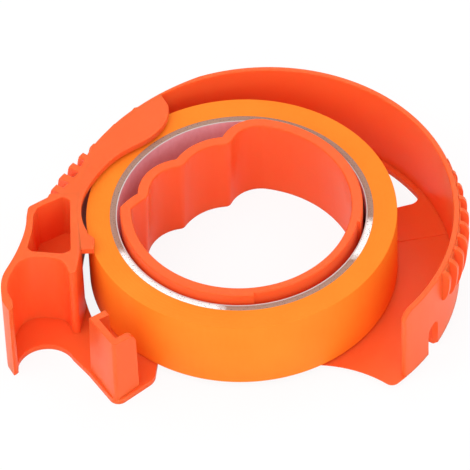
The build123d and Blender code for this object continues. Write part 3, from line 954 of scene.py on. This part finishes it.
@dataclass
class TapeRoll:
    """The roll: wound tape on a board core with a paper liner, turned from profiles about the Z axis."""

    steps: int = 256
    liner_thickness: float = 0.4 * MM
    corner: float = 0.2 * MM
    rim_corner: float = 0.12 * MM
    corner_segments: int = 2
    smooth_until: float = math.radians(38.0)
    seam: float = 0.001 * MM
    level: float = 1e-7
    bundles: int = 29
    ridge: float = 0.035 * MM
    ridged_from: float = 0.001
    ridged_to: float = 0.96
    waves: tuple[tuple[float, float], ...] = ((41.0, 0.0), (97.0, 1.3))

    def build(self, materials: dict[Slot, bpy.types.Material]) -> list[bpy.types.Object]:
        """Builds the three pieces.

        Args:
            materials: a material for each slot.

        Returns:
            The pieces.
        """
        board_outer = self._reach("core_tube")[0]
        liner_outer = self._reach("core_liner")[0]
        liner_inner = liner_outer - self.liner_thickness
        rings = (
            Ring("wound_tape", "tape_winding", Slot.TAPE, board_outer, self.corner, self.bundles),
            Ring("core_board_tube", "core_tube", Slot.CORE_BOARD, liner_outer, self.rim_corner),
            Ring("core_liner_paper", "core_liner", Slot.CORE_PAPER, liner_inner, self.rim_corner),
        )
        return [self._turned(ring, materials[ring.slot]) for ring in rings]

    def _reach(self, node: str) -> tuple[float, float, float]:
        """How far a ring node reaches.

        Args:
            node: the CAD node's name.

        Returns:
            Its outer radius, bottom and top.
        """
        low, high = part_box(node)
        return (high.x - low.x) / 2, low.z, high.z

    def _turned(self, ring: Ring, material: bpy.types.Material) -> bpy.types.Object:
        """Turns one ring.

        Args:
            ring: what to turn.
            material: its material.

        Returns:
            The piece.
        """
        bm = self._profile(ring)
        bmesh.ops.spin(
            bm, geom=bm.verts[:] + bm.edges[:], cent=(0, 0, 0), axis=(0, 0, 1), dvec=(0, 0, 0),
            angle=2 * math.pi, steps=self.steps, use_merge=True, use_duplicate=False,
        )
        bmesh.ops.remove_doubles(bm, verts=bm.verts[:], dist=self.seam)
        bmesh.ops.recalc_face_normals(bm, faces=bm.faces[:])
        for face in bm.faces:
            face.smooth = True
        for edge in bm.edges:
            edge.smooth = edge.calc_face_angle(0.0) < self.smooth_until
        piece = new_piece(ring.name, bm, material)
        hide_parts(ring.node)
        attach(piece, Body.ROLL.value)
        log.info("%s: %d faces", ring.name, len(piece.data.polygons))
        return piece

    def _profile(self, ring: Ring) -> bmesh.types.BMesh:
        """Draws a ring's profile in the XZ plane, with its corners rounded and its ridges set.

        Args:
            ring: the ring.

        Returns:
            The profile, a loop of edges.
        """
        outer, bottom, top = self._reach(ring.node)
        bm = bmesh.new()
        outline = [(ring.inner, bottom), (outer, bottom), (outer, top), (ring.inner, top)]
        verts = [bm.verts.new((radius, 0.0, height)) for radius, height in outline]
        for start, end in zip(verts, verts[1:] + verts[:1]):
            bm.edges.new((start, end))
        corners = [verts[1], verts[2]] if ring.bundles else verts
        bmesh.ops.bevel(
            bm, geom=corners, offset=ring.corner, segments=self.corner_segments, profile=ROUND_PROFILE,
            affect="VERTICES", material=-1, clamp_overlap=True,
        )
        if ring.bundles:
            flats = [
                edge for edge in bm.edges
                if abs(edge.verts[0].co.z - edge.verts[1].co.z) < self.level
                and edge.calc_length() > ring.corner
            ]
            bmesh.ops.subdivide_edges(bm, edges=flats, cuts=2 * ring.bundles)
            self._ridges(bm, (ring.inner, outer), (bottom, top))
        return bm

    def _ridges(
        self, bm: bmesh.types.BMesh, radii: tuple[float, float], heights: tuple[float, float]
    ) -> None:
        """Sets the turns' edges a little in and out on both faces.

        Args:
            bm: the outline's mesh.
            radii: its inner and outer radius.
            heights: its bottom and top.
        """
        for vert in bm.verts:
            share = (vert.co.x - radii[0]) / (radii[1] - radii[0])
            if not self.ridged_from < share < self.ridged_to:
                continue
            swing = sum(math.sin(share * rate + start) for rate, start in self.waves) / len(self.waves)
            step = self.ridge * (1.0 + swing) / 2
            if abs(vert.co.z - heights[1]) < self.level:
                vert.co.z = heights[1] - step
            elif abs(vert.co.z - heights[0]) < self.level:
                vert.co.z = heights[0] + step


@dataclass(frozen=True)
class Softbox:
    """A square lamp that faces the object: its name, place and side in metres, and its power in watts."""

    name: str
    place: tuple[float, float, float]
    side: float
    power: float

    def build(self) -> None:
        """Adds the lamp."""
        data = bpy.data.lights.new(self.name, "AREA")
        data.size = self.side
        data.energy = self.power
        lamp = bpy.data.objects.new(self.name, data)
        lamp.location = self.place
        lamp.rotation_mode = "QUATERNION"
        lamp.rotation_quaternion = (-Vector(self.place)).to_track_quat("-Z", "Y")
        bpy.context.scene.collection.objects.link(lamp)


@dataclass
class Studio:
    """A plain pale floor, soft lamps and the photograph's camera."""

    floor_side: float = 3.0
    floor_drop: float = 0.02 * MM
    floor_colour: Colour = (0.93, 0.93, 0.93, 1.0)
    floor_roughness: float = 0.9
    seen_white: float = 0.9
    reflected_white: float = 0.2
    white: Colour = (1.0, 1.0, 1.0, 1.0)
    sky_strength: float = 0.8
    softboxes: tuple[Softbox, ...] = (
        Softbox("key_softbox", (-0.45, -0.35, 0.95), 0.9, 4.2),
        Softbox("front_softbox", (0.15, -1.05, 0.45), 0.8, 3.2),
        Softbox("back_softbox", (0.35, 0.75, 0.85), 0.8, 2.4),
    )
    camera_place: tuple[float, float, float] = (-2.30866 * MM, -1122.94527 * MM, 1249.32513 * MM)
    camera_elevation: float = 47.67
    camera_roll: float = -2.4456
    lens: float = 416.26
    sensor: float = 36.0
    nearest: float = 0.1
    farthest: float = 20.0

    def build(self) -> None:
        """Builds the floor, the light and the camera."""
        self._floor()
        self._sky()
        for softbox in self.softboxes:
            softbox.build()
        self._camera()
        scene = bpy.context.scene
        scene.view_settings.view_transform = "Standard"

    def _white_share(self, shader: Shader) -> bpy.types.NodeSocket:
        """How much of the plain white each ray sees: most of it directly, less in reflections.

        Args:
            shader: the shader that needs it.

        Returns:
            The socket with the share.
        """
        path = shader.node("ShaderNodeLightPath")
        rays = path.outputs
        direct = shader.math("ADD", rays["Is Camera Ray"], rays["Is Transmission Ray"], clamp=True)
        seen = shader.math("MULTIPLY", direct, self.seen_white)
        mirrored = shader.math("MULTIPLY", rays["Is Glossy Ray"], self.reflected_white)
        return shader.math("ADD", seen, mirrored, clamp=True)

    def _floor(self) -> None:
        """Builds the floor, which keeps a faint shadow."""
        bm = bmesh.new()
        bmesh.ops.create_grid(bm, x_segments=1, y_segments=1, size=self.floor_side / 2)
        bmesh.ops.translate(bm, verts=bm.verts[:], vec=(0.0, 0.0, -self.floor_drop))
        material = bpy.data.materials.new("pale_floor")
        material.use_nodes = True
        shader = Shader(material.node_tree)
        surface = material.node_tree.nodes["Principled BSDF"]
        surface.inputs["Base Color"].default_value = self.floor_colour
        surface.inputs["Roughness"].default_value = self.floor_roughness
        surface.inputs["Specular IOR Level"].default_value = 0.0
        glow = shader.node("ShaderNodeEmission")
        glow.inputs["Strength"].default_value = 1.0
        both = shader.node("ShaderNodeMixShader")
        shader.link(self._white_share(shader), both.inputs[0])
        shader.link(surface.outputs[0], both.inputs[1])
        shader.link(glow.outputs[0], both.inputs[2])
        shader.link(both.outputs[0], material.node_tree.nodes["Material Output"].inputs["Surface"])
        new_piece("studio_floor", bm, material)

    def _sky(self) -> None:
        """Builds the world: even white light, and white where the camera sees it."""
        world = bpy.data.worlds.new("studio_sky")
        world.use_nodes = True
        bpy.context.scene.world = world
        shader = Shader(world.node_tree)
        back = world.node_tree.nodes["Background"]
        back.inputs["Color"].default_value = self.white
        strength = shader.node("ShaderNodeMix", data_type="FLOAT")
        shader.link(self._white_share(shader), strength.inputs["Factor"])
        for place, value in zip(shader.float_inputs, (self.sky_strength, 1.0)):
            strength.inputs[place].default_value = value
        shader.link(strength.outputs[0], back.inputs["Strength"])

    def _camera(self) -> None:
        """Adds the camera at the photograph's place and angle."""
        data = bpy.data.cameras.new("photo_camera")
        data.lens = self.lens
        data.sensor_width = self.sensor
        data.clip_start = self.nearest
        data.clip_end = self.farthest
        camera = bpy.data.objects.new("photo_camera", data)
        elevation, roll = math.radians(self.camera_elevation), math.radians(self.camera_roll)
        backward = Vector((0.0, -math.cos(elevation), math.sin(elevation)))
        level = Vector((1.0, 0.0, 0.0))
        upright = backward.cross(level)
        across = level * math.cos(roll) + upright * math.sin(roll)
        above = upright * math.cos(roll) - level * math.sin(roll)
        turn = Matrix((across, above, backward)).transposed()
        camera.matrix_world = Matrix.Translation(self.camera_place) @ turn.to_4x4()
        bpy.context.scene.collection.objects.link(camera)
        bpy.context.scene.camera = camera


def main() -> None:
    """Builds the dressed object and the studio."""
    logging.basicConfig(level=logging.INFO, format="%(name)s %(message)s")
    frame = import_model()
    effects = Effects()
    materials = {
        Slot.MOULDING: MouldedPlastic().build(effects),
        Slot.TAPE: CrepedTape().build(effects),
        Slot.CORE_BOARD: CutBoard().build(effects),
        Slot.CORE_PAPER: LinerPaper().build(effects),
    }
    pieces = FrameMoulding().build(frame, materials[Slot.MOULDING])
    pieces += TapeRoll().build(materials)
    log.info("%d pieces", len(pieces))
    Studio().build()


if __name__ == "__main__":
    main()
